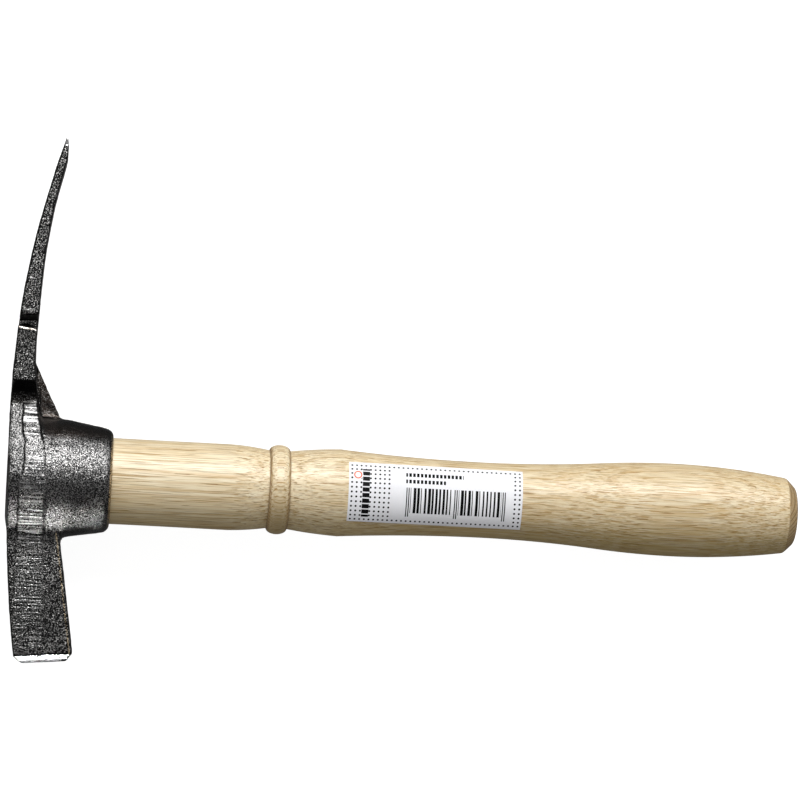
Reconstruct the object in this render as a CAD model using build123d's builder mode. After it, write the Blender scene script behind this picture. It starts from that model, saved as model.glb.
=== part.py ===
from build123d import *
import math
import os

os.makedirs("parts", exist_ok=True)

# A brick hammer lying on its side on a floor at z = 0.  All sizes are millimetres.
# +X runs along the handle from the crown of the head to the butt of the grip,
# +Y runs along the head from the striking face to the cutting edge,
# +Z points up out of the upper cheek.
# Sketch coordinates start where the handle axis meets the crown face.

# ---------------------------------------------------------------- overall
butt_x = 279.7
blade_reach = 118.7
poll_reach = 65.2
socket_radius = 20.8

# ---------------------------------------------------------------- head, side outline
crown_blade_start = (0.0, 29.0)
crown_blade_low = (2.85, 66.5)
crown_blade_high = (6.6, 88.1)
crown_grind_start = (11.9, 109.7)
cutting_edge_crown = (14.6, blade_reach)
cutting_edge_under = (15.15, 118.5)
blade_crown_tangents = [(0.02, 1.0), (0.26, 1.0)]
under_grind_tip = (15.5, 116.0)
under_grind_start = (15.45, 112.3)
under_blade_high = (11.9, 95.5)
under_blade_low = (9.3, 76.0)
under_blade_thin = (8.15, 56.0)
under_blade_flat = (7.8, 45.0)
blade_under_tangents = [(-0.195, -1.0), (0.0, -1.0)]
web_start = (7.85, 40.9)
block_shoulder = (9.4, 26.0)
block_middle = (13.1, 8.0)
block_hidden = (15.0, -8.0)
poll_root_under = (18.8, -16.0)
poll_tip_under = (26.5, -63.4)
poll_tip_crown = (5.9, -poll_reach)
poll_middle_crown = (2.1, -34.0)
crown_poll_start = (0.0, 4.0)

# ---------------------------------------------------------------- head, width across the cheeks
blade_edge_half = 19.5
blade_root_half = 17.4
shoulder_y = 33.4
valley_y = 26.4
valley_half = 10.4
shoulder_round = 1.2
valley_round = 4.0
cheek_top_y = 7.0
cheek_top_half = 19.05
boss_core_half = 15.0
poll_half = 10.5
strike_bevel = 2.6
forging_radius = 0.8
boss_root_round = 3.0
# The blade's crown edges are the long ones whose middle lies between these two heights.
blade_edge_middle_low = 65.0
blade_edge_middle_high = 80.0
blade_edge_shortest = 70.0
corner_slack = 0.1

# ---------------------------------------------------------------- head, socket, web and notch
socket_crown_radius = 20.4
boss_face_radius = 14.6
boss_edge_x = 1.0
socket_wide_x = 20.2
socket_rim_x = 33.8
socket_rim_radius = 18.4
socket_mouth_x = 36.6
socket_mouth_radius = 15.6
rim_round = 3.2
web_foot = (17.95, 20.9)
web_inner = (2.6, 43.4)
web_half = 9.0
web_draft = 20.0
notch_top = 56.5
notch_bottom = 52.6
notch_floor_top = 54.6
notch_floor_bottom = 53.3
notch_floor_half = 12.0
notch_flare = 6.0

# ---------------------------------------------------------------- eye and the tongue that fills it
eye_crown_radius = 13.6
eye_waist_radius = 12.7
eye_waist_x = 16.0
neck_radius = 15.15

# ---------------------------------------------------------------- wedges
kerf_depth = 27.0
kerf_width = 24.0
kerf_mouth_half = 2.3
kerf_foot_half = 0.7
steel_width = 17.0
steel_depth = 19.0
steel_head_half = 1.5
steel_tip_half = 0.25
steel_slope = (steel_head_half - steel_tip_half) / steel_depth
barb_count = 3
barb_pitch = 4.2
barb_step = 0.35

# ---------------------------------------------------------------- handle, radius along the axis
neck_end_x = 78.0
neck_shoulder = (85.8, 14.6)
bead_left = (91.75, 13.75)
bead_right = (99.0, 13.75)
bead_radius = 15.75
collar_rise = (106.0, 14.62)
collar_peak = (117.0, 15.4)
grip_waist = (168.0, 13.35)
grip_turn = (209.6, 15.28)
grip_swell = (236.5, 16.5)
grip_end = (276.3, 13.4)
butt_flat_radius = 10.1

# ---------------------------------------------------------------- label
label_high_left = (119.3, 11.2)
label_high_right = (180.85, 10.75)
label_low_right = (180.85, -9.45)
label_low_left = (119.3, -9.3)
label_thickness = 0.2

# ---------------------------------------------------------------- shared planes and axes
# The origin sits on the floor under the middle of the hammer's bounding box.
origin_x = -butt_x / 2.0
origin_y = -(blade_reach - poll_reach) / 2.0
crown = Vector(origin_x, origin_y, socket_radius)
side = Plane(origin=crown, x_dir=(1, 0, 0), z_dir=(0, 0, 1))
front = Plane(origin=crown, x_dir=(0, 1, 0), z_dir=(1, 0, 0))
handle_axis = Axis(crown, (1, 0, 0))


# The hollow where the round boss runs onto the poll cheek touches both of them.
boss_root_z = poll_half + boss_root_round
boss_root_reach = socket_crown_radius + boss_root_round
boss_root_y = -math.sqrt(boss_root_reach**2 - boss_root_z**2)
boss_root_top = (
    boss_root_y * socket_crown_radius / boss_root_reach,
    boss_root_z * socket_crown_radius / boss_root_reach,
)


# ================================================================ head
# Forged in one piece: thin chisel blade, eye block with a conical socket, square poll.
with BuildPart() as head:
    with BuildSketch(side):
        with BuildLine():
            Spline(
                crown_blade_start,
                crown_blade_low,
                crown_blade_high,
                crown_grind_start,
                tangents=blade_crown_tangents,
            )
            Polyline(
                crown_grind_start,
                cutting_edge_crown,
                cutting_edge_under,
                under_grind_tip,
                under_grind_start,
            )
            Spline(
                under_grind_start,
                under_blade_high,
                under_blade_low,
                under_blade_thin,
                under_blade_flat,
                tangents=blade_under_tangents,
            )
            Polyline(
                under_blade_flat,
                web_start,
                block_shoulder,
                block_middle,
                block_hidden,
                poll_root_under,
                poll_tip_under,
                poll_tip_crown,
            )
            ThreePointArc(poll_tip_crown, poll_middle_crown, crown_poll_start)
            Line(crown_poll_start, crown_blade_start)
        make_face()
    extrude(amount=blade_edge_half, both=True)

    # Seen along the handle: wide blade, hollow shoulder, cheek rising to the eye, square poll.
    with BuildSketch(front) as cheeks:
        with BuildLine():
            Polyline(
                (blade_reach, 0.0),
                (blade_reach, blade_edge_half),
                (shoulder_y, blade_root_half),
            )
            RadiusArc(
                (shoulder_y, blade_root_half),
                (valley_y, valley_half),
                blade_root_half - valley_half,
            )
            Polyline(
                (valley_y, valley_half),
                (cheek_top_y, cheek_top_half),
                (cheek_top_y, boss_core_half),
                (-cheek_top_y, boss_core_half),
                boss_root_top,
            )
            RadiusArc(boss_root_top, (boss_root_y, poll_half), boss_root_round)
            Polyline(
                (boss_root_y, poll_half),
                (-poll_reach, poll_half),
                (-poll_reach, 0.0),
            )
            mirror(about=Plane.XZ)
        make_face()
        shoulder_corners = cheeks.vertices().filter_by_position(
            Axis.X, shoulder_y - corner_slack, shoulder_y + corner_slack
        )
        fillet(shoulder_corners, radius=shoulder_round)
        valley_corners = cheeks.vertices().filter_by_position(
            Axis.X, valley_y - corner_slack, valley_y + corner_slack
        )
        fillet(valley_corners, radius=valley_round)
    extrude(amount=butt_x, both=True, mode=Mode.INTERSECT)

    # Ground bevel round the striking face, then the rounded crown edges of the blade.
    striking_face = head.faces().sort_by(Axis.Y)[0]
    chamfer(striking_face.edges(), length=strike_bevel)
    blade_crown_edges = (
        head.edges()
        .filter_by_position(
            Axis.Y, crown.Y + blade_edge_middle_low, crown.Y + blade_edge_middle_high
        )
        .filter_by(lambda edge: edge.length > blade_edge_shortest)
        .filter_by(lambda edge: abs(edge.center().Z - crown.Z) > valley_half)
    )
    fillet(blade_crown_edges, radius=forging_radius)

    # Round boss and conical socket that carries the neck of the handle.
    with BuildSketch(side):
        with BuildLine():
            Polyline(
                (0.0, 0.0),
                (0.0, boss_face_radius),
                (boss_edge_x, socket_crown_radius),
                (socket_wide_x, socket_radius),
                (socket_rim_x, socket_rim_radius),
            )
            RadiusArc(
                (socket_rim_x, socket_rim_radius),
                (socket_mouth_x, socket_mouth_radius),
                rim_round,
            )
            Polyline(
                (socket_mouth_x, socket_mouth_radius),
                (socket_mouth_x, 0.0),
                (0.0, 0.0),
            )
        make_face()
    revolve(axis=handle_axis)

    # Drafted web that braces the blade against the socket.
    with BuildSketch(side):
        with BuildLine():
            Polyline(
                web_inner,
                web_start,
                web_foot,
                (web_foot[0], 0.0),
                (web_inner[0], 0.0),
                web_inner,
            )
        make_face()
    extrude(amount=web_half, both=True, taper=web_draft)

    # Nail notch sawn into the upper edge of the blade, wider on the handle side.
    with BuildSketch(front):
        with BuildLine():
            Polyline(
                (notch_top, blade_edge_half),
                (notch_floor_top, notch_floor_half),
                (notch_floor_bottom, notch_floor_half),
                (notch_bottom, blade_edge_half),
                (notch_top, blade_edge_half),
            )
        make_face()
    extrude(amount=socket_rim_x, taper=-notch_flare, mode=Mode.SUBTRACT)

    # Eye: narrow waist, flaring to the crown for the wedges and to the socket mouth.
    with BuildSketch(side):
        with BuildLine():
            Polyline(
                (0.0, 0.0),
                (0.0, eye_crown_radius),
                (eye_waist_x, eye_waist_radius),
                (socket_mouth_x, neck_radius),
                (socket_mouth_x, 0.0),
                (0.0, 0.0),
            )
        make_face()
    revolve(axis=handle_axis, mode=Mode.SUBTRACT)

head.part.label = "head"
export_step(head.part, "parts/head.step")


# ================================================================ steel wedge
# Barbed iron wedge driven across the wooden one; each barb is a small step in both faces.
with BuildPart() as steel_wedge:
    with BuildSketch(side):
        with BuildLine():
            barb_points = [(0.0, steel_head_half)]
            for barb in range(barb_count):
                barb_x = (barb + 1) * barb_pitch
                wedge_half = steel_head_half - steel_slope * barb_x
                barb_points.append((barb_x, wedge_half - barb_step / 2.0))
                barb_points.append((barb_x, wedge_half + barb_step / 2.0))
            barb_points.append((steel_depth, steel_tip_half))
            barb_points.append((steel_depth, 0.0))
            barb_points.append((0.0, 0.0))
            Polyline(*barb_points, close=True)
        make_face()
        mirror(about=Plane.XZ)
    extrude(amount=steel_width / 2.0, both=True)
steel_wedge.part.label = "steel_wedge"
export_step(steel_wedge.part, "parts/steel_wedge.step")


# ================================================================ wooden wedge
# Thin hardwood wedge that fills the saw kerf along the head, split by the steel wedge.
with BuildPart() as kerf:
    with BuildSketch(Plane(origin=crown, x_dir=(1, 0, 0), z_dir=(0, -1, 0))):
        with BuildLine():
            Polyline(
                (0.0, kerf_mouth_half),
                (kerf_depth, kerf_foot_half),
                (kerf_depth, -kerf_foot_half),
                (0.0, -kerf_mouth_half),
                (0.0, kerf_mouth_half),
            )
        make_face()
    extrude(amount=kerf_width / 2.0, both=True)

with BuildPart() as wooden_wedge:
    add(kerf.part)
    add(steel_wedge.part, mode=Mode.SUBTRACT)
wooden_wedge.part.label = "wooden_wedge"
export_step(wooden_wedge.part, "parts/wooden_wedge.step")


# ================================================================ handle
# Turned ash: tongue in the eye, straight neck, bead, collar and swelling grip.
with BuildPart() as handle:
    with BuildSketch(side):
        with BuildLine():
            Polyline(
                (0.0, 0.0),
                (0.0, eye_crown_radius),
                (eye_waist_x, eye_waist_radius),
                (socket_mouth_x, neck_radius),
                (neck_end_x, neck_radius),
            )
            ThreePointArc((neck_end_x, neck_radius), neck_shoulder, bead_left)
            EllipticalCenterArc(
                center=((bead_left[0] + bead_right[0]) / 2.0, bead_left[1]),
                x_radius=(bead_right[0] - bead_left[0]) / 2.0,
                y_radius=bead_radius - bead_left[1],
                start_angle=0,
                arc_size=180,
            )
            ThreePointArc(bead_right, collar_rise, collar_peak)
            TangentArc(grip_waist, collar_peak, tangent=(-1.0, 0.0))
            TangentArc(grip_waist, grip_turn, tangent=(1.0, 0.0))
            TangentArc(grip_swell, grip_turn, tangent=(-1.0, 0.0))
            TangentArc(grip_swell, grip_end, tangent=(1.0, 0.0))
            Polyline(
                grip_end,
                (butt_x, butt_flat_radius),
                (butt_x, 0.0),
                (0.0, 0.0),
            )
        make_face()
    revolve(axis=handle_axis)
    add(kerf.part, mode=Mode.SUBTRACT)
    add(steel_wedge.part, mode=Mode.SUBTRACT)
handle.part.label = "handle"
export_step(handle.part, "parts/handle.step")


# ================================================================ label
# Paper sticker wrapped over the upper side of the grip.
paper_left = (collar_peak[0], collar_peak[1] + label_thickness)
paper_waist = (grip_waist[0], grip_waist[1] + label_thickness)
paper_right = (grip_turn[0], grip_turn[1] + label_thickness)
with BuildPart() as label:
    with BuildSketch(side):
        with BuildLine():
            TangentArc(paper_waist, paper_left, tangent=(-1.0, 0.0))
            TangentArc(paper_waist, paper_right, tangent=(1.0, 0.0))
            Polyline(paper_right, (grip_turn[0], 0.0), (collar_peak[0], 0.0), paper_left)
        make_face()
    revolve(axis=handle_axis)
    with BuildSketch(side):
        with BuildLine():
            Polyline(
                label_low_left,
                label_low_right,
                label_high_right,
                label_high_left,
                label_low_left,
            )
        make_face()
    extrude(amount=socket_radius, mode=Mode.INTERSECT)
    add(handle.part, mode=Mode.SUBTRACT)
label.part.label = "label"
export_step(label.part, "parts/label.step")
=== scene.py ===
import math

import bmesh
import bpy
import numpy as np
from mathutils import Matrix, Vector

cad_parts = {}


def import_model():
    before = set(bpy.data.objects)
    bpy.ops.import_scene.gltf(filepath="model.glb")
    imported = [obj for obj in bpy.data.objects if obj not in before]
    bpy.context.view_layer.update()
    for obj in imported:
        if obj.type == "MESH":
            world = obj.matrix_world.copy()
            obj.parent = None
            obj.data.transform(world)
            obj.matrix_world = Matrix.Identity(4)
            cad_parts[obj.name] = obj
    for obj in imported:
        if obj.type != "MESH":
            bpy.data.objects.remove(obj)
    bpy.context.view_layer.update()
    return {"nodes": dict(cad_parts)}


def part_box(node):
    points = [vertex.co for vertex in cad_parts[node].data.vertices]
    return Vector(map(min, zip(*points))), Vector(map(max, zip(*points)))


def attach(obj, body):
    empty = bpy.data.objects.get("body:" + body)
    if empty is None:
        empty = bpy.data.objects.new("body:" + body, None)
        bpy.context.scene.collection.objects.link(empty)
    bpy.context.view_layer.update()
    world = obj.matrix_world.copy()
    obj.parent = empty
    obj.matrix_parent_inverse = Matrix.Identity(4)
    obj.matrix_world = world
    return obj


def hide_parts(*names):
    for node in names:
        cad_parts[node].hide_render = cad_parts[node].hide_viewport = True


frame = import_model()

# Lengths below are millimetres in the hammer's own frame: u along the handle from the crown
# of the head, v along the head to the cutting edge, w up out of the upper cheek.
MM = 0.001
head_low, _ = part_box("head")
handle_low, handle_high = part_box("handle")
CROWN = Vector(
    (
        head_low.x,
        (handle_low.y + handle_high.y) / 2.0,
        (handle_low.z + handle_high.z) / 2.0,
    )
)
BUTT_U = (handle_high.x - CROWN.x) / MM


def world(u, v, w=0.0):
    """World point in metres of a point given in the hammer's frame."""
    return CROWN + Vector((u, v, w)) * MM


# ---------------------------------------------------------------- meshes
def new_object(name, mesh):
    obj = bpy.data.objects.new(name, mesh)
    bpy.context.scene.collection.objects.link(obj)
    return obj


def mesh_from(name, verts, faces):
    mesh = bpy.data.meshes.new(name)
    mesh.from_pydata([tuple(v) for v in verts], [], faces)
    mesh.update()
    return mesh


def apply_modifiers(obj):
    """Replaces the object's mesh by its evaluated one and drops the modifiers."""
    graph = bpy.context.evaluated_depsgraph_get()
    done = bpy.data.meshes.new_from_object(obj.evaluated_get(graph))
    obj.modifiers.clear()
    obj.data = done
    return obj


def merged_copy(node, name):
    """A copy of a CAD node's mesh with its split corners joined again."""
    mesh = bpy.data.meshes.new(name)
    work = bmesh.new()
    work.from_mesh(frame["nodes"][node].data)
    bmesh.ops.remove_doubles(work, verts=work.verts, dist=1e-6)
    work.to_mesh(mesh)
    work.free()
    mesh.materials.clear()
    return new_object(name, mesh)


def face_outward(mesh):
    """Turns every face of a closed mesh outward."""
    work = bmesh.new()
    work.from_mesh(mesh)
    bmesh.ops.recalc_face_normals(work, faces=work.faces)
    work.to_mesh(mesh)
    work.free()


def vertices_mm(mesh):
    """Vertex positions in the hammer's frame, in millimetres."""
    flat = np.empty(len(mesh.vertices) * 3)
    mesh.vertices.foreach_get("co", flat)
    return (flat.reshape(-1, 3) - np.array(CROWN)) / MM


def normals_of(mesh):
    flat = np.empty(len(mesh.vertices) * 3)
    mesh.vertices.foreach_get("normal", flat)
    return flat.reshape(-1, 3)


def write_mm(mesh, points):
    flat = points * MM + np.array(CROWN)
    mesh.vertices.foreach_set("co", flat.ravel())
    mesh.update()


def lattice_hash(cells, seed):
    """A repeatable number from 0 to 1 for each whole-numbered cell."""
    mixed = cells[..., 0] * 73856093 ^ cells[..., 1] * 19349663 ^ cells[..., 2] * 83492791
    mixed = (mixed ^ (seed * 2654435761)) & 0xFFFFFFFF
    mixed = (mixed ^ (mixed >> 15)) * 2246822519 & 0xFFFFFFFF
    mixed = (mixed ^ (mixed >> 13)) * 3266489917 & 0xFFFFFFFF
    mixed = mixed ^ (mixed >> 16)
    return mixed / 4294967295.0


def smooth_noise(points, size, seed):
    """Value noise from -1 to 1; size is the cell edge along each axis in millimetres."""
    scaled = points / np.array(size, dtype=float)
    base = np.floor(scaled).astype(np.int64)
    part = scaled - base
    part = part * part * (3.0 - 2.0 * part)
    total = np.zeros(len(points))
    for corner in range(8):
        step = np.array([corner & 1, corner >> 1 & 1, corner >> 2 & 1])
        weight = np.prod(np.where(step == 1, part, 1.0 - part), axis=1)
        total += weight * lattice_hash(base + step, seed)
    return total * 2.0 - 1.0


def ramp(values, low, high):
    """Smooth step from 0 at low to 1 at high."""
    t = np.clip((values - low) / (high - low), 0.0, 1.0)
    return t * t * (3.0 - 2.0 * t)


def band(values, low, high, soft):
    return ramp(values, low - soft, low + soft) * (1.0 - ramp(values, high - soft, high + soft))


SHARP_ANGLE = math.radians(38.0)


def shade_smooth(obj):
    obj.data.polygons.foreach_set("use_smooth", [True] * len(obj.data.polygons))
    obj.data.update()


def shade_by_angle(obj):
    """Smooth shading that leaves the edges sharper than SHARP_ANGLE as edges."""
    shade_smooth(obj)
    obj.data.set_sharp_from_angle(angle=SHARP_ANGLE)


# ---------------------------------------------------------------- head
HEAD_VOXEL = 0.32 * MM
HEAD_FACES = 190000
CRISP_STEPS = 3
WORN_STEPS = 14
HOLLOW_STEPS = 320
# The trimmed land on each cheek: its step towards the crown, which sways and waves along v, its
# upper end, its height and the height of the tears across it.
LAND_STEP_U = 4.5
LAND_STEP_SWAY = 1.3
LAND_STEP_WAVE = 0.14
LAND_STEP_TURNS = 1.15
LAND_SWAY_V = (0.5, 15.0)
LAND_SWAY_SOFT = 3.5
LAND_TOP_V = 25.6
LAND_RAISE = 0.16
SHEAR_RISE = 0.085
POLL_END_V = -62.6
EDGE_GROUND_V = 115.0
# The eye's wall stays smooth inside this radius.
EYE_CLEAR = 16.0
# Dents in the forged skin: height, size and seed of each kind.
SKIN_DENTS = ((0.11, 11.0, 21), (0.06, 2.6, 22), (0.075, 1.15, 23))
# Corners that keep their shape: the poll's bevel, the cutting edge, the notch, and the valley
# behind the blade up to VALLEY_REACH_U.
BEVEL_KEPT_V = (60.5, 62.0)
EDGE_KEPT_V = (111.0, 114.0)
NOTCH_KEPT_V = (50.0, 61.0)
VALLEY_KEPT_V = (23.0, 37.0)
VALLEY_REACH_U = (8.8, 9.8)


def land_right_edge(v):
    """Where the trimmed flash land ends towards the handle, for each v."""
    return np.interp(v, [-64.0, -24.0, -20.0, 8.0, 26.0], [15.5, 15.0, 14.3, 13.1, 9.4])


def shear_depth(v):
    """How strongly the trimmed land is torn across, for each v."""
    places = [-63.0, -26.0, -20.0, -12.0, -9.0, 2.0, 6.0, 14.0, 18.0, 26.0]
    depths = [0.32, 0.40, 0.95, 1.0, 0.35, 0.40, 0.15, 0.2, 1.0, 1.0]
    return np.interp(v, places, depths)


def forge_surface(points, normals):
    """Height in millimetres that the forged skin stands proud of the plain shape."""
    u, v = points[:, 0], points[:, 1]
    cheek = ramp(np.abs(normals[:, 2]), 0.55, 0.8)
    step = LAND_STEP_U + LAND_STEP_SWAY * band(v, *LAND_SWAY_V, LAND_SWAY_SOFT)
    step += LAND_STEP_WAVE * np.sin(LAND_STEP_TURNS * v)
    left = ramp(u, step - 0.3, step + 0.3)
    fade = 1.0 - 0.75 * ramp(-v, 22.0, 40.0)
    right_line = land_right_edge(v) + smooth_noise(points, (50.0, 3.0, 50.0), 5) * 0.5
    right = 1.0 - ramp(u, right_line - 0.8, right_line + 0.8)
    inside = band(v, POLL_END_V, LAND_TOP_V, 1.0)
    land = cheek * left * right * inside
    height = LAND_RAISE * (2.0 * land * fade - cheek * inside * fade)
    shear = smooth_noise(points + v[:, None] * 0.05, (30.0, 0.75, 30.0), 11)
    shear = (shear + 0.7 * smooth_noise(points, (14.0, 1.9, 30.0), 12)) * shear_depth(v)
    height += SHEAR_RISE * shear * cheek * inside * left * (0.12 + 0.88 * right)
    for rise, size, seed in SKIN_DENTS:
        height += rise * smooth_noise(points, (size, size, size), seed)
    ground = ramp(-v, -POLL_END_V - 0.4, -POLL_END_V)
    ground += ramp(v, EDGE_GROUND_V, EDGE_GROUND_V + 1.0)
    bore = ramp(EYE_CLEAR - np.hypot(points[:, 1], points[:, 2]), 0.0, 0.5)
    return height * (1.0 - np.clip(ground, 0.0, 1.0)) * (1.0 - bore)


def relaxed(head, steps):
    """Vertex positions after smoothing the mesh, which itself stays as it is."""
    eased = head.copy()
    eased.data = head.data.copy()
    bpy.context.scene.collection.objects.link(eased)
    flow = eased.modifiers.new("flow", "SMOOTH")
    flow.factor = 0.5
    flow.iterations = steps
    apply_modifiers(eased)
    points = vertices_mm(eased.data)
    bpy.data.objects.remove(eased)
    return points


def forge_corners(head):
    """Rounds the forging's outer edges a little and its inner corners a lot."""
    crisp = relaxed(head, CRISP_STEPS)
    worn = relaxed(head, WORN_STEPS)
    flowed = relaxed(head, HOLLOW_STEPS)
    u, v = crisp[:, 0], crisp[:, 1]
    ground = np.maximum(ramp(-v, *BEVEL_KEPT_V), ramp(v, *EDGE_KEPT_V))
    notch = band(v, *NOTCH_KEPT_V, 1.0)
    kept = np.maximum(ground, notch)[:, None]
    points = worn + (crisp - worn) * kept
    write_mm(head.data, points)
    normals = normals_of(head.data)
    outward = np.maximum(np.einsum("ij,ij->i", flowed - points, normals), 0.0)
    valley = band(v, *VALLEY_KEPT_V, 1.0) * (1.0 - ramp(u, *VALLEY_REACH_U))
    bore = ramp(EYE_CLEAR + 0.5 - np.hypot(v, crisp[:, 2]), 0.0, 0.5)
    free = (1.0 - np.maximum(notch, valley)) * (1.0 - bore) * (1.0 - ground)
    write_mm(head.data, points + normals * (outward * free)[:, None])


def build_head():
    head = merged_copy("head", "forged_head")
    remesh = head.modifiers.new("skin", "REMESH")
    remesh.mode = "VOXEL"
    remesh.voxel_size = HEAD_VOXEL
    remesh.adaptivity = 0.0
    apply_modifiers(head)
    forge_corners(head)
    points = vertices_mm(head.data)
    normals = normals_of(head.data)
    height = forge_surface(points, normals)
    write_mm(head.data, points + normals * height[:, None])
    thin = head.modifiers.new("thin", "DECIMATE")
    thin.ratio = min(1.0, HEAD_FACES / (2.0 * len(head.data.polygons)))
    apply_modifiers(head)
    shade_smooth(head)
    return head


head = build_head()
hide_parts("head")
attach(head, "root")

# ---------------------------------------------------------------- handle
TURNS = 144
# The end grain has dried a little way below the crown face.
WOOD_SHRINK = 0.15
# Turned profile: places along the handle, radii, and points of both.
TONGUE_RADIUS = 13.6
TONGUE_NARROW = (16.0, 12.7)
SOCKET_MOUTH_U = 36.6
NECK_RADIUS = 15.15
NECK_END_U = 78.0
NECK_SLOPE = (85.8, 14.6)
GROOVE_RADIUS = 13.75
BEAD_MIDDLE = 95.375
BEAD_HALF = 3.625
BEAD_RISE = 2.0
BEAD_POINTS = 28
COLLAR_SLOPE = (106.0, 14.62)
COLLAR = (117.0, 15.4)
WAIST = (168.0, 13.35)
TURN = (209.6, 15.28)
SWELL = (236.5, 16.5)
CHAMFER_FROM = (276.3, 13.4)
# The butt: the chamfer with a small round at both of its corners.
BUTT_ROWS = [(276.0, 13.42), (276.45, 13.22), (276.9, 12.85)]
BUTT_ROWS += [(279.1, 10.65), (279.5, 10.15), (BUTT_U, 9.7)]
# Waves left by turning: height, length, width and seed of each kind.
TURNING_WAVES = ((0.05, 45.0, 9.0, 31), (0.03, 60.0, 2.5, 32))


def arc_through(start, middle, end, count):
    """Points on the circle through three points, from start to end."""
    ax, ay = start
    bx, by = middle
    cx, cy = end
    d = 2.0 * (ax * (by - cy) + bx * (cy - ay) + cx * (ay - by))
    a2, b2, c2 = ax * ax + ay * ay, bx * bx + by * by, cx * cx + cy * cy
    ox = (a2 * (by - cy) + b2 * (cy - ay) + c2 * (ay - by)) / d
    oy = (a2 * (cx - bx) + b2 * (ax - cx) + c2 * (bx - ax)) / d
    radius = math.hypot(ax - ox, ay - oy)
    us = np.linspace(ax, cx, count)
    side = 1.0 if ay > oy else -1.0
    return [(u, oy + side * math.sqrt(radius * radius - (u - ox) ** 2)) for u in us]


def level_arc(flat, other, count):
    """Points from flat, where the curve is level, to other, on one circle."""
    run, rise = other[0] - flat[0], other[1] - flat[1]
    radius = (run * run + rise * rise) / (2.0 * abs(rise))
    sign = 1.0 if rise > 0 else -1.0
    us = np.linspace(flat[0], other[0], count)
    return [
        (u, flat[1] + sign * (radius - math.sqrt(radius * radius - (u - flat[0]) ** 2)))
        for u in us
    ]


def handle_profile():
    """Radius along the handle, from the wedged end to the butt."""
    narrow_u, narrow_radius = TONGUE_NARROW
    taper = (TONGUE_RADIUS - narrow_radius) / narrow_u
    flare = (NECK_RADIUS - narrow_radius) / (SOCKET_MOUTH_U - narrow_u)
    rows = [(WOOD_SHRINK, TONGUE_RADIUS - 0.4), (WOOD_SHRINK + 0.3, TONGUE_RADIUS - 0.05)]
    rows += [(u, TONGUE_RADIUS - taper * u) for u in np.linspace(2.0, narrow_u, 8)]
    flared = np.linspace(narrow_u + 2.0, SOCKET_MOUTH_U, 10)
    rows += [(u, narrow_radius + flare * (u - narrow_u)) for u in flared]
    rows += [(u, NECK_RADIUS) for u in np.linspace(38.5, NECK_END_U - 0.5, 54)]
    before_bead = (BEAD_MIDDLE - BEAD_HALF, GROOVE_RADIUS)
    after_bead = (BEAD_MIDDLE + BEAD_HALF, GROOVE_RADIUS)
    rows += arc_through((NECK_END_U, NECK_RADIUS), NECK_SLOPE, before_bead, 20)
    for step in range(1, BEAD_POINTS):
        angle = math.pi * (1.0 - step / BEAD_POINTS)
        along = BEAD_MIDDLE + BEAD_HALF * math.cos(angle)
        rows.append((along, GROOVE_RADIUS + BEAD_RISE * math.sin(angle)))
    rows += arc_through(after_bead, COLLAR_SLOPE, COLLAR, 24)
    rows += level_arc(WAIST, COLLAR, 70)[::-1][1:]
    rows += level_arc(WAIST, TURN, 58)[1:]
    rows += level_arc(SWELL, TURN, 38)[::-1][1:]
    rows += level_arc(SWELL, CHAMFER_FROM, 54)[1:-1]
    return rows + BUTT_ROWS


def turned_mesh(name, rows, turns):
    """A closed solid of revolution about the handle axis."""
    verts = []
    for u, radius in rows:
        for k in range(turns):
            angle = 2.0 * math.pi * k / turns
            verts.append(world(u, radius * math.cos(angle), radius * math.sin(angle)))
    faces = []
    for i in range(len(rows) - 1):
        for k in range(turns):
            n = (k + 1) % turns
            faces.append(
                (i * turns + k, i * turns + n, (i + 1) * turns + n, (i + 1) * turns + k)
            )
    last = (len(rows) - 1) * turns
    faces.append(tuple(range(turns))[::-1])
    faces.append(tuple(last + k for k in range(turns)))
    return mesh_from(name, verts, faces)


def build_handle():
    rows = handle_profile()
    handle = new_object("turned_handle", turned_mesh("turned_handle", rows, TURNS))
    face_outward(handle.data)
    points = vertices_mm(handle.data)
    radial = points * np.array([0.0, 1.0, 1.0])
    radial /= np.maximum(np.linalg.norm(radial, axis=1), 1e-6)[:, None]
    lift = np.zeros(len(points))
    for rise, length, width, seed in TURNING_WAVES:
        lift += rise * smooth_noise(points, (length, width, width), seed)
    lift *= ramp(points[:, 0], 38.0, 42.0)
    write_mm(handle.data, points + radial * lift[:, None])
    for node in ("wooden_wedge", "steel_wedge"):
        cutter = merged_copy(node, "cutter_" + node)
        cut = handle.modifiers.new(node, "BOOLEAN")
        cut.operation = "DIFFERENCE"
        cut.solver = "EXACT"
        cut.object = cutter
        apply_modifiers(handle)
        bpy.data.objects.remove(cutter)
    shade_by_angle(handle)
    return handle


handle = build_handle()
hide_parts("handle")
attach(handle, "root")

# ---------------------------------------------------------------- label
label_low, label_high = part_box("label")
LABEL_U = ((label_low.x - CROWN.x) / MM, (label_high.x - CROWN.x) / MM)
LABEL_HIGH_V = (11.2, 10.75)
LABEL_LOW_V = (-9.3, -9.45)
LABEL_LIFT = 0.17
LABEL_SUNK = 0.05
LABEL_COLUMNS = 120
LABEL_ROWS = 70


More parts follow.
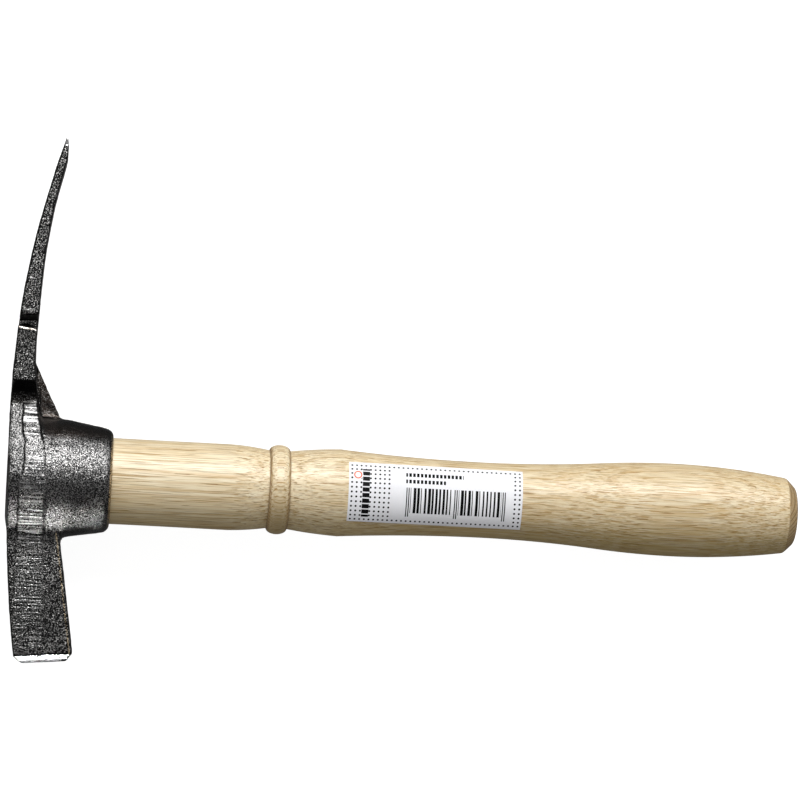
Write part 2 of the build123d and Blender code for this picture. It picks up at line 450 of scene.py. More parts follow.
def build_label():
    """A sheet of paper that follows the grip, with its edges let into the surface."""
    profile = handle_profile()
    radii = np.interp(
        np.linspace(*LABEL_U, LABEL_COLUMNS + 1),
        [row[0] for row in profile],
        [row[1] for row in profile],
    )
    verts = []
    for layer in (LABEL_LIFT, -LABEL_SUNK):
        for i in range(LABEL_COLUMNS + 1):
            share = i / LABEL_COLUMNS
            u = LABEL_U[0] + (LABEL_U[1] - LABEL_U[0]) * share
            low = math.asin(np.interp(share, (0.0, 1.0), LABEL_LOW_V) / radii[i])
            high = math.asin(np.interp(share, (0.0, 1.0), LABEL_HIGH_V) / radii[i])
            for j in range(LABEL_ROWS + 1):
                angle = low + (high - low) * j / LABEL_ROWS
                reach = radii[i] + layer
                verts.append(world(u, reach * math.sin(angle), reach * math.cos(angle)))
    stride = LABEL_ROWS + 1
    sheet = (LABEL_COLUMNS + 1) * stride
    faces = []
    for i in range(LABEL_COLUMNS):
        for j in range(LABEL_ROWS):
            a = i * stride + j
            faces.append((a, a + stride, a + stride + 1, a + 1))
            faces.append((sheet + a, sheet + a + 1, sheet + a + stride + 1, sheet + a + stride))
    rim = [i * stride for i in range(LABEL_COLUMNS)]
    rim += [LABEL_COLUMNS * stride + j for j in range(LABEL_ROWS)]
    rim += [i * stride + LABEL_ROWS for i in range(LABEL_COLUMNS, 0, -1)]
    rim += list(range(LABEL_ROWS, 0, -1))
    for a, b in zip(rim, rim[1:] + rim[:1]):
        faces.append((a, sheet + a, sheet + b, b))
    label = new_object("paper_label", mesh_from("paper_label", verts, faces))
    face_outward(label.data)
    shade_by_angle(label)
    return label


label = build_label()
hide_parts("label")
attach(label, "root")


# ---------------------------------------------------------------- materials
class Tree:
    """Small helper that adds shader nodes and links them."""

    def __init__(self, name):
        self.material = bpy.data.materials.new(name)
        self.material.use_nodes = True
        self.nodes = self.material.node_tree.nodes
        self.links = self.material.node_tree.links
        self.shader = self.nodes["Principled BSDF"]
        self.coords = self.nodes.new("ShaderNodeTexCoord").outputs["Object"]

    def feed(self, socket, value):
        if isinstance(value, bpy.types.NodeSocket):
            self.links.new(value, socket)
        else:
            socket.default_value = value

    def math(self, operation, a, b=0.0, c=0.0):
        node = self.nodes.new("ShaderNodeMath")
        node.operation = operation
        for socket, value in zip(node.inputs, (a, b, c)):
            self.feed(socket, value)
        return node.outputs[0]

    def times(self, first, *others):
        for other in others:
            first = self.math("MULTIPLY", first, other)
        return first

    def most(self, first, *others):
        for other in others:
            first = self.math("MAXIMUM", first, other)
        return first

    def without(self, value, removed):
        """The value where the removed mask is 0, fading to 0 where it is 1."""
        return self.times(value, self.math("SUBTRACT", 1.0, removed))

    def vector(self, operation, a, b=(0.0, 0.0, 0.0)):
        node = self.nodes.new("ShaderNodeVectorMath")
        node.operation = operation
        self.feed(node.inputs[0], a)
        self.feed(node.inputs[1], b)
        return node.outputs["Value" if operation == "LENGTH" else "Vector"]

    def split(self, vector):
        node = self.nodes.new("ShaderNodeSeparateXYZ")
        self.feed(node.inputs[0], vector)
        return node.outputs[0], node.outputs[1], node.outputs[2]

    def join(self, x, y, z):
        node = self.nodes.new("ShaderNodeCombineXYZ")
        for socket, value in zip(node.inputs, (x, y, z)):
            self.feed(socket, value)
        return node.outputs[0]

    def noise(self, vector, scale, detail=2.0, roughness=0.5):
        node = self.nodes.new("ShaderNodeTexNoise")
        self.feed(node.inputs["Vector"], vector)
        node.inputs["Scale"].default_value = scale
        node.inputs["Detail"].default_value = detail
        node.inputs["Roughness"].default_value = roughness
        return node.outputs["Fac"]

    def spread(self, value, low, high, to_low=0.0, to_high=1.0):
        node = self.nodes.new("ShaderNodeMapRange")
        node.interpolation_type = "SMOOTHSTEP"
        for socket, given in zip(node.inputs, (value, low, high, to_low, to_high)):
            self.feed(socket, given)
        return node.outputs[0]

    def band(self, value, low, high, soft):
        """1 between low and high, 0 outside, with soft edges."""
        fall = self.spread(value, high - soft, high + soft, 1.0, 0.0)
        return self.math("MULTIPLY", self.spread(value, low - soft, low + soft), fall)

    def mix(self, fac, a, b):
        node = self.nodes.new("ShaderNodeMix")
        node.data_type = "RGBA"
        self.feed(node.inputs[0], fac)
        self.feed(node.inputs[6], a)
        self.feed(node.inputs[7], b)
        return node.outputs[2]

    def layered(self, colour, layers):
        """The colour with each layer's colour laid over it where that layer's mask is 1."""
        for mask, layer in layers:
            colour = self.mix(mask, colour, layer)
        return colour

    def bump(self, height, strength, distance):
        node = self.nodes.new("ShaderNodeBump")
        node.inputs["Strength"].default_value = strength
        node.inputs["Distance"].default_value = distance
        self.feed(node.inputs["Height"], height)
        return node.outputs[0]

    def millimetres(self):
        """Object coordinates in the hammer's frame, in millimetres."""
        shifted = self.vector("SUBTRACT", self.coords, tuple(CROWN))
        return self.vector("MULTIPLY", shifted, (1000.0, 1000.0, 1000.0))

    def set(self, **values):
        for name, value in values.items():
            self.feed(self.shader.inputs[name.replace("_", " ")], value)
        return self.material


def grey(value):
    return (value, value, value, 1.0)


# Places on the head, in millimetres: along u, along v, along w, and square to the striking face.
STRIKE_DIRECTION = (0.0858, -0.9963)
BEVEL_STRIKE = (62.75, 62.95)
BURR_STRIKE = (64.25, 65.7)
BROW_STRIKE = (62.2, 62.8)
EDGE_V = (115.8, 116.2)
BOSS_V = (-22.0, 24.0)
WEB_V = (15.0, 41.0)
VALLEY_V = (25.6, 31.8)
NOTCH_V = (54.7, 57.4)
NOTCH_W = (9.0, 18.8)
LIP_V = (52.4, 52.95)
CORNER_U = (17.5, 18.0)
CORNER_V = (-63.0, -19.0)
MOUTH_U = (35.5, 36.1)

# Colours of the forging; a pair holds the two ends of a variation.
SCALE = ((0.076, 0.075, 0.074, 1.0), (0.105, 0.104, 0.102, 1.0))
RUBBED_SCALE = ((0.132, 0.131, 0.130, 1.0), (0.178, 0.176, 0.174, 1.0))
# Painted shade for the forging's outer edges.
PAINTED_EDGE_SHADE = grey(0.010)
PIT = grey(0.016)
# Bare-steel specks and painted glints.
SPECK_AND_PAINTED_GLINT = ((0.34, 0.335, 0.330, 1.0), (0.90, 0.89, 0.87, 1.0))
# Painted highlight and painted shade for the shear lines.
PAINTED_TEAR_HIGHLIGHT = (0.82, 0.81, 0.80, 1.0)
PAINTED_TEAR_SHADE = grey(0.012)
# Painted shade along the land's step.
PAINTED_STEP_SHADE = grey(0.004)
# Brown with painted shade for the web; painted shade for the two hollows.
WEB_BROWN_AND_SHADE = (0.055, 0.042, 0.034, 1.0)
HOLLOW_SHADE = (0.012, 0.010, 0.008, 1.0)
# Black, used for painted shade.
BLACK = grey(0.0)
# Warm oxide lightened into a painted highlight.
WARM_OXIDE_AND_HIGHLIGHT = (0.95, 0.77, 0.52, 1.0)
BRIGHT_LIP_LINE = (0.95, 0.86, 0.76, 1.0)
GROUND_STEEL = (grey(0.84), grey(0.93))
# Painted shade for the bevel's side facets and round the striking face.
SIDE_FACET_SHADE = (0.09, 0.09, 0.095, 1.0)
BURR_EDGE_SHADE = grey(0.008)


def forged_steel():
    tree = Tree("forged_steel")
    point = tree.millimetres()
    u, v, w = tree.split(point)
    geometry = tree.nodes.new("ShaderNodeNewGeometry")
    facing = tree.split(geometry.outputs["Normal"])
    sideways = tree.math("ABSOLUTE", facing[0])
    upward = tree.math("ABSOLUTE", facing[2])
    grain = tree.noise(point, 2.2, 2.0, 0.6)
    specks = tree.noise(tree.vector("ADD", point, (31.0, 7.0, 3.0)), 2.5, 1.0, 0.5)
    coarse = tree.noise(point, 0.35, 3.0, 0.6)
    fine = tree.noise(point, 4.5, 2.0, 0.6)
    patches = tree.noise(point, 0.09, 4.0, 0.6)
    ragged = tree.math("SUBTRACT", coarse, 0.5)
    cheek = tree.spread(upward, 0.5, 0.7)
    boss = tree.band(v, *BOSS_V, 2.0)
    # Ground steel: the bevel and face of the poll, and the last of the blade. The bevel's side
    # facets and the burr round the face are painted dark as shade, and so is the brow above the
    # bevel.
    strike = tree.times(v, STRIKE_DIRECTION[1])
    strike = tree.math("MULTIPLY_ADD", u, STRIKE_DIRECTION[0], strike)
    strike_mask = tree.spread(strike, *BEVEL_STRIKE)
    edge_mask = tree.spread(tree.math("MULTIPLY_ADD", ragged, 0.9, v), *EDGE_V)
    ground = tree.most(strike_mask, edge_mask)
    facet = tree.times(tree.spread(sideways, 0.3, 0.55), strike_mask)
    burr = tree.times(tree.band(strike, *BURR_STRIKE, 0.08), tree.spread(upward, 0.015, 0.06))
    brow = tree.times(tree.band(strike, *BROW_STRIKE, 0.1), cheek)
    # The trimmed land on each cheek carries shear lines that run along the handle. In the
    # colour, their light and dark lines are painted highlights and painted shade.
    upper = tree.math("MULTIPLY_ADD", v, -0.2056, 14.74)
    lower = tree.math("MULTIPLY_ADD", v, -0.033, 13.36)
    right = tree.math("SUBTRACT", tree.math("MINIMUM", upper, lower), u)
    step = tree.band(v, *LAND_SWAY_V, LAND_SWAY_SOFT)
    step = tree.math("MULTIPLY_ADD", step, LAND_STEP_SWAY, LAND_STEP_U)
    sway = tree.math("SINE", tree.times(v, LAND_STEP_TURNS))
    step = tree.math("MULTIPLY_ADD", sway, LAND_STEP_WAVE, step)
    past_step = tree.math("SUBTRACT", u, step)
    # Painted shade: a dark line along the land's step towards the crown and along its far brink.
    step_shade_line = tree.times(tree.band(past_step, -0.22, 0.12, 0.1), tree.band(v, -19.5, 26.0, 1.0))
    step_shade_line = tree.times(tree.without(step_shade_line, tree.band(v, -3.0, 4.0, 3.0)), cheek)
    brink = tree.times(tree.band(right, -0.2, 0.1, 0.1), tree.band(v, 4.0, 24.0, 1.5), cheek)
    step_shade_line = tree.most(step_shade_line, brink)
    land = tree.times(tree.spread(past_step, 0.0, 0.6), tree.spread(right, -0.3, 0.8))
    poll_tears = tree.times(tree.band(v, -62.0, 9.0, 2.0), 0.52)
    torn = tree.most(tree.band(v, 15.0, 26.0, 2.0), tree.band(v, -21.0, -10.5, 1.2), poll_tears)
    torn = tree.times(land, torn, cheek)
    shear = tree.noise(tree.vector("MULTIPLY", point, (0.07, 1.5, 0.2)), 1.0, 2.0, 0.65)
    painted_tear_highlights = tree.times(tree.spread(shear, 0.54, 0.62), torn)
    painted_tear_shade = tree.times(tree.spread(shear, 0.46, 0.40), torn)
    # The web between blade and socket is brownish, and darkened further as painted shade. The
    # valley behind the blade and the notch are painted near black as shade.
    web = tree.times(tree.spread(right, -0.3, -1.6), tree.band(v, *WEB_V, 1.5))
    valley = tree.band(tree.math("MULTIPLY_ADD", ragged, 1.6, v), *VALLEY_V, 0.45)
    valley = tree.times(valley, tree.spread(u, 10.6, 9.4), 0.72)
    notch = tree.times(tree.band(v, *NOTCH_V, 0.3), tree.band(w, *NOTCH_W, 0.3), 0.6)
    painted_hollow_shade = tree.most(valley, notch)
    # Warm oxide where the skin is thin, lightened into a painted highlight: the poll's under
    # corners and the socket mouth.
    corner = tree.math("MULTIPLY_ADD", tree.math("ADD", v, 16.0), 0.1624, u)
    corner = tree.times(tree.band(corner, *CORNER_U, 0.15), tree.band(v, *CORNER_V, 1.0))
    corner = tree.times(corner, tree.spread(tree.math("ABSOLUTE", w), 9.2, 9.8))
    mouth = tree.times(tree.spread(u, *MOUTH_U), tree.spread(upward, 0.1, 0.3))
    warm_oxide_and_highlight = tree.times(tree.most(corner, mouth), tree.spread(specks, 0.50, 0.55))
    # The lip of the notch is coloured as a thin, ragged bright line.
    lip = tree.math("MULTIPLY_ADD", u, 0.19, tree.math("MULTIPLY_ADD", ragged, 1.4, v))
    lip = tree.times(tree.band(lip, *LIP_V, 0.1), tree.spread(w, 14.0, 15.0))
    lip = tree.times(lip, tree.spread(coarse, 0.36, 0.46))
    # Painted shade: where the forging turns over from its flats to its sides the colour is
    # nearly black, and so it is on the brow of skin above the bevel. Painted shade also makes
    # the crown side of the eye block, the poll towards its face and the boss's foot a little
    # darker.
    clear = tree.math("MULTIPLY_ADD", boss, -0.42, 0.97)
    black = tree.math("MULTIPLY_ADD", boss, -0.58, 0.86)
    painted_edge_shade = tree.times(tree.spread(upward, clear, black), tree.spread(upward, 0.06, 0.24))
    painted_edge_shade = tree.most(painted_edge_shade, brow)
    crown_side_shade = tree.times(tree.spread(past_step, 0.3, -0.3), tree.band(v, 4.0, 26.5, 2.0))
    poll_shade = tree.spread(v, -18.0, -64.0, 0.0, 0.28)
    boss_foot_shade = tree.times(tree.spread(v, -14.0, -19.0, 0.0, 0.46), boss)
    # Light specks in the colour: bare steel, with painted glints that are brightest on the
    # upward-facing flats of the blade and the poll.
    off_boss = tree.math("MULTIPLY_ADD", boss, -0.75, 1.0)
    flat = tree.times(tree.spread(upward, 0.90, 0.985), off_boss)
    patchy = tree.spread(patches, 0.35, 0.7)
    skin = tree.mix(boss, tree.mix(patchy, *SCALE), tree.mix(patchy, *RUBBED_SCALE))
    skin = tree.layered(
        skin,
        (
            (tree.spread(specks, 0.50, 0.45), PIT),
            (tree.spread(specks, 0.57, 0.605), tree.mix(flat, *SPECK_AND_PAINTED_GLINT)),
            (tree.times(painted_tear_highlights, 0.7), PAINTED_TEAR_HIGHLIGHT),
            (tree.times(painted_tear_shade, 0.8), PAINTED_TEAR_SHADE),
            (tree.times(step_shade_line, 0.9), PAINTED_STEP_SHADE),
            (tree.times(web, 0.7), WEB_BROWN_AND_SHADE),
            (tree.times(crown_side_shade, 0.36), BLACK),
            (poll_shade, BLACK),
            (boss_foot_shade, BLACK),
            (painted_hollow_shade, HOLLOW_SHADE),
            (tree.times(painted_edge_shade, 0.85), PAINTED_EDGE_SHADE),
            (warm_oxide_and_highlight, WARM_OXIDE_AND_HIGHLIGHT),
            (lip, BRIGHT_LIP_LINE),
        ),
    )
    steel = tree.mix(tree.spread(fine, 0.3, 0.7), *GROUND_STEEL)
    steel = tree.mix(tree.times(facet, 0.95), steel, SIDE_FACET_SHADE)
    steel = tree.mix(tree.times(burr, 0.95), steel, BURR_EDGE_SHADE)
    colour = tree.mix(ground, skin, steel)
    rough_skin = tree.spread(grain, 0.3, 0.75, 0.27, 0.38)
    rough = tree.math("MULTIPLY_ADD", ground, -0.08, rough_skin)
    # Grinding lines on the ground steel, hammered grain everywhere else.
    lines = tree.noise(tree.vector("MULTIPLY", point, (0.4, 3.0, 6.0)), 1.0, 2.0, 0.5)
    height = tree.math("MULTIPLY_ADD", grain, 0.8, tree.times(fine, 0.2))
    height = tree.math("MULTIPLY_ADD", tree.times(torn, shear), 2.6, height)
    height = tree.mix(ground, height, tree.times(lines, 0.10))
    normal = tree.bump(height, 1.0, 0.00020)
    return tree.set(Base_Color=colour, Metallic=1.0, Roughness=rough, Normal=normal)


# Colours of the ash; a pair holds the colour at the neck and at the grip.
PALE_WOOD = ((0.80, 0.645, 0.395, 1.0), (0.69, 0.53, 0.295, 1.0))
CREAM_WOOD = ((0.94, 0.84, 0.62, 1.0), (0.80, 0.69, 0.475, 1.0))
# Painted shade for the lower front side.
GOLDEN_LOW_SHADE = ((0.62, 0.42, 0.04, 1.0), (0.40, 0.28, 0.03, 1.0))
STREAK = (0.68, 0.47, 0.21, 1.0)
LATE_WOOD = (0.66, 0.46, 0.20, 1.0)
EARLY_WOOD = (0.58, 0.36, 0.13, 1.0)
DARK_LINE = (0.43, 0.25, 0.07, 1.0)
PALE_LINE = (0.98, 0.91, 0.72, 1.0)
FLECK = (0.46, 0.29, 0.10, 1.0)
PORE = (0.31, 0.17, 0.035, 1.0)
# Painted shade under the bead and in the corners beside it.
BEAD_UNDERSIDE_SHADE = (0.36, 0.24, 0.09, 1.0)
BEAD_CORNER_SHADE = (0.17, 0.10, 0.035, 1.0)
CHAMFER_RIM = (0.30, 0.18, 0.07, 1.0)
END_GRAIN = (0.40, 0.25, 0.10, 1.0)
END_RING = (0.20, 0.11, 0.04, 1.0)
STAIN = (0.24, 0.13, 0.05, 1.0)
RING_PITCH = 1.35
NECK_TO_GRIP_U = (95.0, 175.0)
RIM_U = (276.2, 276.75)


def ash_wood(name, stain=0.0):
    """Ash in its own colour, or darkened by a stain from 0 to 1."""
    tree = Tree(name)
    point = tree.millimetres()
    u, v, w = tree.split(point)

    def along(stretch, across, detail=1.0, rough=0.5):
        """Noise drawn out along the handle."""
        drawn = tree.vector("MULTIPLY", point, (stretch, across, across))
        return tree.noise(drawn, 1.0, detail, rough)

    # The stem's centre lies far below the handle, so the growth rings are cut nearly flat on
    # the upper back side and the swell of the grip brings out an oval figure there.
    across = tree.math("ADD", v, 68.0)
    down = tree.math("MULTIPLY_ADD", u, -0.012, tree.math("ADD", w, 92.0))
    radius = tree.vector("LENGTH", tree.join(0.0, across, down))
    radius = tree.math("MULTIPLY_ADD", along(0.015, 0.03, 2.0), 3.0, radius)
    radius = tree.math("MULTIPLY_ADD", along(0.10, 0.16, 2.0), 0.45, radius)
    phase = tree.math("FRACT", tree.math("DIVIDE", radius, RING_PITCH))
    early = tree.times(tree.spread(phase, 0.0, 0.08), tree.spread(phase, 0.42, 0.16))
    late = tree.spread(phase, 0.45, 0.98)
    pores = tree.spread(along(0.075, 3.0), 0.60, 0.635)
    pore_mask = tree.times(pores, tree.math("MULTIPLY_ADD", early, 0.5, 0.46))
    lines = tree.spread(along(0.035, 2.6), 0.59, 0.625)
    pale_lines = tree.spread(along(0.05, 2.9, 2.0), 0.54, 0.61)
    fibre = along(0.03, 1.3, 4.0, 0.66)
    silk = along(0.08, 5.0, 2.0, 0.6)
    streak = along(0.012, 0.45, 3.0, 0.6)
    # Painted shade: the lower front side is darker and more golden.
    grip = tree.spread(u, *NECK_TO_GRIP_U)
    lower_side_shade = tree.times(tree.spread(v, -1.0, -15.0), tree.math("MULTIPLY_ADD", grip, 0.28, 0.31))
    # Painted shade darkens the bead's lower side and the corners on both sides of it.
    from_bead = tree.math("ABSOLUTE", tree.math("SUBTRACT", u, BEAD_MIDDLE))
    bead_underside_shade = tree.times(tree.spread(from_bead, BEAD_HALF, BEAD_HALF - 0.5), 0.5)
    bead_underside_shade = tree.times(bead_underside_shade, tree.spread(v, 6.0, -10.0))
    bead_corner_shade = tree.band(from_bead, BEAD_HALF - 0.25, BEAD_HALF + 0.15, 0.3)
    # The corner where the butt's chamfer begins is painted darker.
    rim = tree.band(u, *RIM_U, 0.12)
    # End grain drinks more lacquer, so it is darker and its rings stand out.
    geometry = tree.nodes.new("ShaderNodeNewGeometry")
    facing = tree.split(geometry.outputs["Normal"])[0]
    end = tree.spread(tree.math("ABSOLUTE", facing), 0.5, 0.68)
    fibres = tree.spread(fibre, 0.31, 0.65)
    colour = tree.mix(fibres, tree.mix(grip, *PALE_WOOD), tree.mix(grip, *CREAM_WOOD))
    colour = tree.layered(
        colour,
        (
            (tree.spread(streak, 0.42, 0.72, 0.0, 0.30), STREAK),
            (lower_side_shade, tree.mix(grip, *GOLDEN_LOW_SHADE)),
            (tree.times(late, 0.16), LATE_WOOD),
            (tree.times(early, 0.38), EARLY_WOOD),
            (tree.times(lines, 0.85), DARK_LINE),
            (tree.times(pale_lines, 0.35), PALE_LINE),
            (tree.spread(silk, 0.50, 0.66, 0.0, 0.34), FLECK),
            (pore_mask, PORE),
            (bead_underside_shade, BEAD_UNDERSIDE_SHADE),
            (tree.times(bead_corner_shade, 0.72), BEAD_CORNER_SHADE),
            (tree.times(rim, 0.55), CHAMFER_RIM),
            (tree.times(end, 0.6), END_GRAIN),
            (tree.times(end, tree.times(early, 0.75)), END_RING),
            (stain, STAIN),
        ),
    )
    height = tree.math("MULTIPLY_ADD", pores, -0.8, tree.times(fibre, 0.6))
    height = tree.math("MULTIPLY_ADD", silk, 0.25, height)
    normal = tree.bump(height, 0.55, 0.00014)
    rough = tree.spread(fibre, 0.2, 0.8, 0.36, 0.52)
    return tree.set(
        Base_Color=colour,
        Roughness=rough,
        Coat_Weight=0.22,
        Coat_Roughness=0.35,
        Normal=normal,
    )


# Print on the label, in millimetres from its left end and along its curve from the middle line.
DOT_COLUMNS = 37
DOT_ROWS = 13
DOT_PITCH_S = 1.65
DOT_PITCH_T = 1.69
DOT_FIRST_S = 1.1
DOT_FIRST_T = 11.2
DOT_RADIUS = 0.36
PANEL_COLUMNS = 9
SIDE_COLUMNS = 2
PRINT_SOFT = 0.03
TITLE_BAR = (4.9, 7.4, -8.0, 9.7)
TITLE_PITCH = 1.97
TITLE_FILL = 0.78
TEXT_BARS = ((20.2, 40.6, 7.5, 9.0), (20.2, 34.3, 5.0, 6.4))
TEXT_PITCH = 1.36
TEXT_FILL = 0.66
CODE_START = 20.4
CODE_MODULE = 0.37
CODE_MODULES = 95
STRIPE_PITCH = 1.29
STRIPE_THIN = 0.30
STRIPE_SPREAD = 0.75
CODE_TOP = 3.4
CODE_FOOT = -5.7
GUARD_FOOT = -7.2
GUARDS = ((0.0, 3.0), (46.0, 49.0), (92.0, 95.0))
RING_CENTRE = (3.2, 7.3)
RING_RADIUS = 1.25
RING_HALF_LINE = 0.2
PAPER = ((0.93, 0.93, 0.955, 1.0), (0.84, 0.84, 0.87, 1.0))
BLACK_INK = grey(0.004)
RED_INK = (0.78, 0.13, 0.03, 1.0)


def printed_paper():
    tree = Tree("label_paper")
    u, v, w = tree.split(tree.millimetres())
    s = tree.math("SUBTRACT", u, LABEL_U[0])
    reach = tree.vector("LENGTH", tree.join(0.0, v, w))
    t = tree.times(tree.math("ARCTAN2", v, w), reach)

    def box(low_s, high_s, low_t, high_t):
        beside = tree.band(s, low_s, high_s, PRINT_SOFT)
        return tree.times(beside, tree.band(t, low_t, high_t, PRINT_SOFT))

    def blocks(value, pitch, fill):
        """Breaks a bar into even blocks, so that it has the rhythm of a line of print."""
        middle = tree.math("PINGPONG", value, pitch / 2.0)
        half = fill * pitch / 2.0
        return tree.spread(middle, half + PRINT_SOFT, half - PRINT_SOFT)

    # Dots on a square grid: a full panel at the left, then a border round the rest.
    column = tree.math("DIVIDE", tree.math("SUBTRACT", s, DOT_FIRST_S), DOT_PITCH_S)
    row = tree.math("DIVIDE", tree.math("SUBTRACT", DOT_FIRST_T, t), DOT_PITCH_T)
    near_column = tree.math("ROUND", column)
    near_row = tree.math("ROUND", row)
    off_s = tree.times(tree.math("SUBTRACT", column, near_column), DOT_PITCH_S)
    off_t = tree.times(tree.math("SUBTRACT", row, near_row), DOT_PITCH_T)
    away = tree.vector("LENGTH", tree.join(off_s, off_t, 0.0))
    dot = tree.spread(away, DOT_RADIUS + PRINT_SOFT, DOT_RADIUS - PRINT_SOFT)
    printed = tree.most(
        tree.math("LESS_THAN", near_column, PANEL_COLUMNS - 0.5),
        tree.math("GREATER_THAN", near_column, DOT_COLUMNS - SIDE_COLUMNS - 0.5),
        tree.math("LESS_THAN", near_row, 0.5),
        tree.math("GREATER_THAN", near_row, DOT_ROWS - 1.5),
    )
    in_columns = tree.math("COMPARE", near_column, (DOT_COLUMNS - 1) / 2.0, DOT_COLUMNS / 2.0)
    in_rows = tree.math("COMPARE", near_row, (DOT_ROWS - 1) / 2.0, DOT_ROWS / 2.0)
    ink = tree.times(dot, printed, in_columns, in_rows)
    # Bars of blocks in place of print: one up the panel, two beside it.
    title = box(*TITLE_BAR)
    ink = tree.without(ink, title)
    ink = tree.most(ink, tree.times(title, blocks(t, TITLE_PITCH, TITLE_FILL)))
    for bar in TEXT_BARS:
        ink = tree.most(ink, tree.times(box(*bar), blocks(s, TEXT_PITCH, TEXT_FILL)))
    # Stripes of chance widths between plain guard lines; they code nothing.
    place = tree.math("DIVIDE", tree.math("SUBTRACT", s, CODE_START), STRIPE_PITCH)
    chance = tree.nodes.new("ShaderNodeTexWhiteNoise")
    chance.noise_dimensions = "1D"
    tree.feed(chance.inputs["W"], tree.math("FLOOR", place))
    within_pitch = tree.times(tree.math("FRACT", place), STRIPE_PITCH)
    width = tree.math("MULTIPLY_ADD", chance.outputs["Value"], STRIPE_SPREAD, STRIPE_THIN)
    beyond = tree.math("SUBTRACT", within_pitch, width)
    stripe = tree.spread(beyond, PRINT_SOFT, -PRINT_SOFT)
    code_end = CODE_START + CODE_MODULE * CODE_MODULES
    stripe = tree.times(stripe, box(CODE_START, code_end, CODE_FOOT, CODE_TOP))
    for first, last in GUARDS:
        low = CODE_START + CODE_MODULE * first
        high = CODE_START + CODE_MODULE * last
        middle = CODE_START + CODE_MODULE * (first + last) / 2.0
        half_gap = CODE_MODULE / 2.0
        blank = box(low - CODE_MODULE, high + CODE_MODULE, GUARD_FOOT, CODE_TOP)
        stripe = tree.without(stripe, blank)
        stripe = tree.most(stripe, box(low, middle - half_gap, GUARD_FOOT, CODE_TOP))
        stripe = tree.most(stripe, box(middle + half_gap, high, GUARD_FOOT, CODE_TOP))
    ink = tree.most(ink, stripe)
    # A plain ring on a clear patch.
    ring_s = tree.math("SUBTRACT", s, RING_CENTRE[0])
    ring_t = tree.math("SUBTRACT", t, RING_CENTRE[1])
    from_ring = tree.vector("LENGTH", tree.join(ring_s, ring_t, 0.0))
    patch = tree.spread(from_ring, RING_RADIUS + 0.6, RING_RADIUS + 0.5)
    ink = tree.without(ink, patch)
    inner = RING_RADIUS - RING_HALF_LINE
    outer = RING_RADIUS + RING_HALF_LINE
    ring = tree.band(from_ring, inner, outer, PRINT_SOFT)
    pulp = tree.noise(tree.millimetres(), 2.5, 3.0, 0.6)
    colour = tree.layered(tree.mix(pulp, *PAPER), ((ink, BLACK_INK), (ring, RED_INK)))
    rough = tree.math("MULTIPLY_ADD", ink, 0.12, 0.38)
    return tree.set(
        Base_Color=colour,
        Roughness=rough,
        Specular_IOR_Level=0.08,
        Normal=tree.bump(pulp, 0.25, 0.00004),
    )


BARE_IRON = (0.42, 0.41, 0.4, 1.0)
RUST = (0.19, 0.14, 0.11, 1.0)


def plain_steel():
    tree = Tree("wedge_steel")
    point = tree.millimetres()
    grain = tree.noise(point, 2.2, 3.0, 0.6)
    rust = tree.spread(tree.noise(point, 0.5, 4.0, 0.65), 0.5, 0.72)
    colour = tree.mix(rust, BARE_IRON, RUST)
    normal = tree.bump(grain, 0.5, 0.0002)
    rough = tree.spread(grain, 0.3, 0.7, 0.35, 0.6)
    return tree.set(Base_Color=colour, Metallic=0.9, Roughness=rough, Normal=normal)


steel_look = forged_steel()
ash_look = ash_wood("ash")
wedge_look = ash_wood("wedge_wood", stain=0.45)
iron_look = plain_steel()
head.data.materials.clear()
head.data.materials.append(steel_look)
handle.data.materials.clear()
handle.data.materials.append(ash_look)
label.data.materials.append(printed_paper())


def dress(node, material):
    """Gives a CAD node that stays a better material."""
    for place in frame["nodes"][node].material_slots:
        place.material = material


dress("wooden_wedge", wedge_look)
dress("steel_wedge", iron_look)

# ---------------------------------------------------------------- floor, light and camera
FLOOR_HALF = 6.0
floor = new_object(
    "floor",
    mesh_from(
        "floor",
        [
            (-FLOOR_HALF, -FLOOR_HALF, 0.0),
            (FLOOR_HALF, -FLOOR_HALF, 0.0),
            (FLOOR_HALF, FLOOR_HALF, 0.0),
            (-FLOOR_HALF, FLOOR_HALF, 0.0),
        ],
        [(0, 1, 2, 3)],
    ),
)
floor_tree = Tree("floor")
floor.data.materials.append(
    floor_tree.set(
        Base_Color=grey(0.35),
        Roughness=0.9,
        Emission_Color=grey(1.0),
        Emission_Strength=0.92,
    )
)
floor.visible_diffuse = False
floor.visible_glossy = False

scene = bpy.context.scene
scene.view_settings.view_transform = "Standard"


# Brightness of the sky for shading, low and high, and in reflections: under the horizon, at it
# and overhead.
SKY_LOW = 0.05
SKY_HIGH = 0.26
GLOSS_FLOOR = 0.10
GLOSS_LOW = 0.02
GLOSS_HIGH = 0.16


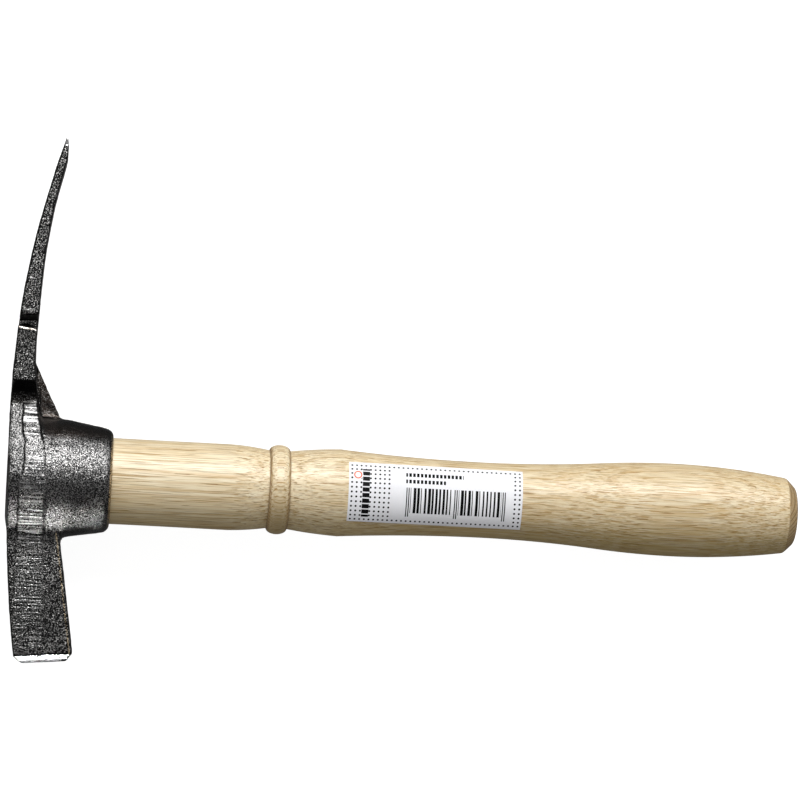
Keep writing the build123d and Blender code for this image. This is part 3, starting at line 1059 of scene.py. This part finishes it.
def build_surround():
    """White behind the object, a dim sky for its shading, dimmer still in reflections."""
    surround = bpy.data.worlds.new("surround")
    surround.use_nodes = True
    nodes = surround.node_tree.nodes
    links = surround.node_tree.links
    path = nodes.new("ShaderNodeLightPath")
    direction = nodes.new("ShaderNodeSeparateXYZ")
    links.new(nodes.new("ShaderNodeTexCoord").outputs["Generated"], direction.inputs[0])

    def between(value, low, high, to_low, to_high):
        node = nodes.new("ShaderNodeMapRange")
        for socket, given in zip(node.inputs, (None, low, high, to_low, to_high)):
            if isinstance(given, bpy.types.NodeSocket):
                links.new(given, socket)
            elif given is not None:
                socket.default_value = given
        links.new(value, node.inputs["Value"])
        return node.outputs[0]

    soft = between(direction.outputs["Z"], -0.25, 0.45, SKY_LOW, SKY_HIGH)
    below = between(direction.outputs["Z"], -0.3, -0.1, GLOSS_FLOOR, GLOSS_LOW)
    shiny = between(direction.outputs["Z"], -0.1, 0.9, below, GLOSS_HIGH)
    unseen = between(path.outputs["Is Glossy Ray"], 0.0, 1.0, soft, shiny)
    strength = between(path.outputs["Is Camera Ray"], 0.0, 1.0, unseen, 1.0)
    backdrop = nodes["Background"]
    backdrop.inputs["Color"].default_value = grey(1.0)
    links.new(strength, backdrop.inputs["Strength"])
    return surround


scene.world = build_surround()


def area_light(name, where, target, power, width, height):
    data = bpy.data.lights.new(name, "AREA")
    data.shape = "RECTANGLE"
    data.size = width
    data.size_y = height
    data.energy = power
    light = bpy.data.objects.new(name, data)
    scene.collection.objects.link(light)
    light.location = where
    light.rotation_euler = (Vector(target) - Vector(where)).to_track_quat("-Z", "Y").to_euler()
    return light


AIM = (0.0, 0.0, 0.02)
HEAD_AIM = (-0.140, 0.0, 0.03)
area_light("key", (0.0, 1.0, 0.95), AIM, power=20.0, width=1.6, height=0.6)
low_fill = area_light("low_fill", (0.0, -1.3, 0.22), AIM, power=0.97, width=1.6, height=0.3)
low_fill.visible_glossy = False
back_fill = area_light("back_fill", (0.0, 1.3, 0.3), AIM, power=4.0, width=1.6, height=0.4)
back_fill.visible_glossy = False
area_light("end_fill", (1.3, -0.1, 0.7), AIM, power=1.0, width=0.8, height=0.8)
area_light("crown_fill", (-1.3, -0.2, 0.3), AIM, power=1.6, width=0.9, height=0.4)
# Two strips show only as gloss: one along the back, and a narrow one low in front that lights
# only the head.
back_sheen = area_light("back_sheen", (0.0, 1.15, 0.9), AIM, power=15.0, width=1.8, height=0.35)
front_sheen = area_light(
    "front_sheen", (-0.14, -0.75, 0.055), HEAD_AIM, power=0.027, width=0.12, height=0.05
)
front_sheen.data.spread = math.radians(14.0)
steel_only = bpy.data.collections.new("steel_only")
steel_only.objects.link(head)
front_sheen.light_linking.receiver_collection = steel_only
for strip in (back_sheen, front_sheen):
    strip.visible_diffuse = False

# The camera looks almost straight down, from above the head end.
VIEW_CENTRE = world(136.9, 33.9)
VIEW_DISTANCE = 1.435
IMAGE_WIDTH = 800.0
PIXEL = 0.354
VIEW_TILT = math.radians(4.9)
VIEW_ROLL = math.radians(3.08)
VIEW_ANGLE = 2.0 * math.atan(0.5 * IMAGE_WIDTH * PIXEL * MM / VIEW_DISTANCE)
eye = VIEW_CENTRE + VIEW_DISTANCE * Vector((-math.sin(VIEW_TILT), 0.0, math.cos(VIEW_TILT)))
forward = (VIEW_CENTRE - eye).normalized()
up_hint = Vector((-math.sin(VIEW_ROLL), math.cos(VIEW_ROLL), 0.0))
right = forward.cross(up_hint).normalized()
up = right.cross(forward)
camera_data = bpy.data.cameras.new("camera")
camera_data.sensor_width = 36.0
camera_data.sensor_fit = "HORIZONTAL"
camera_data.lens = camera_data.sensor_width / (2.0 * math.tan(VIEW_ANGLE / 2.0))
camera = bpy.data.objects.new("camera", camera_data)
scene.collection.objects.link(camera)
turn = Matrix((right, up, -forward)).transposed()
camera.matrix_world = Matrix.Translation(eye) @ turn.to_4x4()
scene.camera = camera
